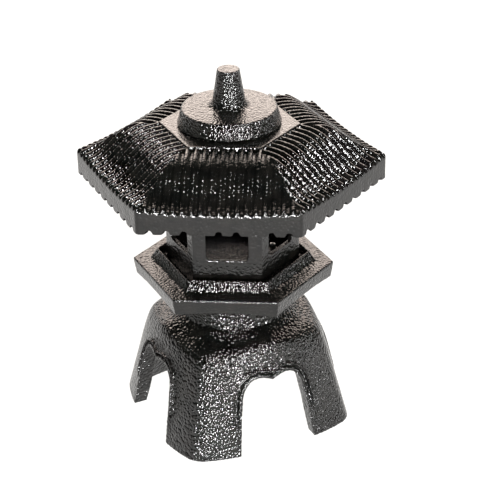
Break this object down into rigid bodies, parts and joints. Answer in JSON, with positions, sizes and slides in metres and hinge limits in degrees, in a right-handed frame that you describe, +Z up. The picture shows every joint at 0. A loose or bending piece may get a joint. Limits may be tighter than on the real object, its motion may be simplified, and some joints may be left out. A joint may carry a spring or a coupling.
{
  "type": "cast-iron garden lantern",
  "caption": "Hexagonal pagoda lantern of black enamelled cast iron on an arched four-legged base; the ribbed roof lifts off so that a candle can stand in the windowed light chamber.",
  "frame": {"origin": "on the ground, on the vertical axis through the finial, the light chamber and the base", "axes": "+Z up; the front, -Y, is a flat of the hexagonal roof with one arch of the base below it; +X is to the right, through a corner of the roof and the middle of another arch"},
  "size_m": [0.196, 0.1698, 0.24],
  "materials": {
    "black_enamel": "glossy black enamel over rough sand-cast iron",
    "zinc_steel": "zinc plated"
  },
  "bodies": {
    "stand": {"base": "black_enamel", "platform": "black_enamel", "light_chamber": "black_enamel", "assembly_screw_1": "zinc_steel", "screw_washer_1": "zinc_steel", "nut_washer_1": "zinc_steel", "assembly_nut_1": "zinc_steel", "assembly_screw_2": "zinc_steel", "screw_washer_2": "zinc_steel", "nut_washer_2": "zinc_steel", "assembly_nut_2": "zinc_steel"},
    "lid": {"roof": "black_enamel", "finial": "black_enamel", "finial_bolt": "zinc_steel", "finial_washer": "zinc_steel"}
  },
  "joints": [
    {"name": "roof_lift", "type": "slide", "parent": "stand", "child": "lid", "axis": [0, 0, 1], "range_m": [0, 0.045]}
  ]
}
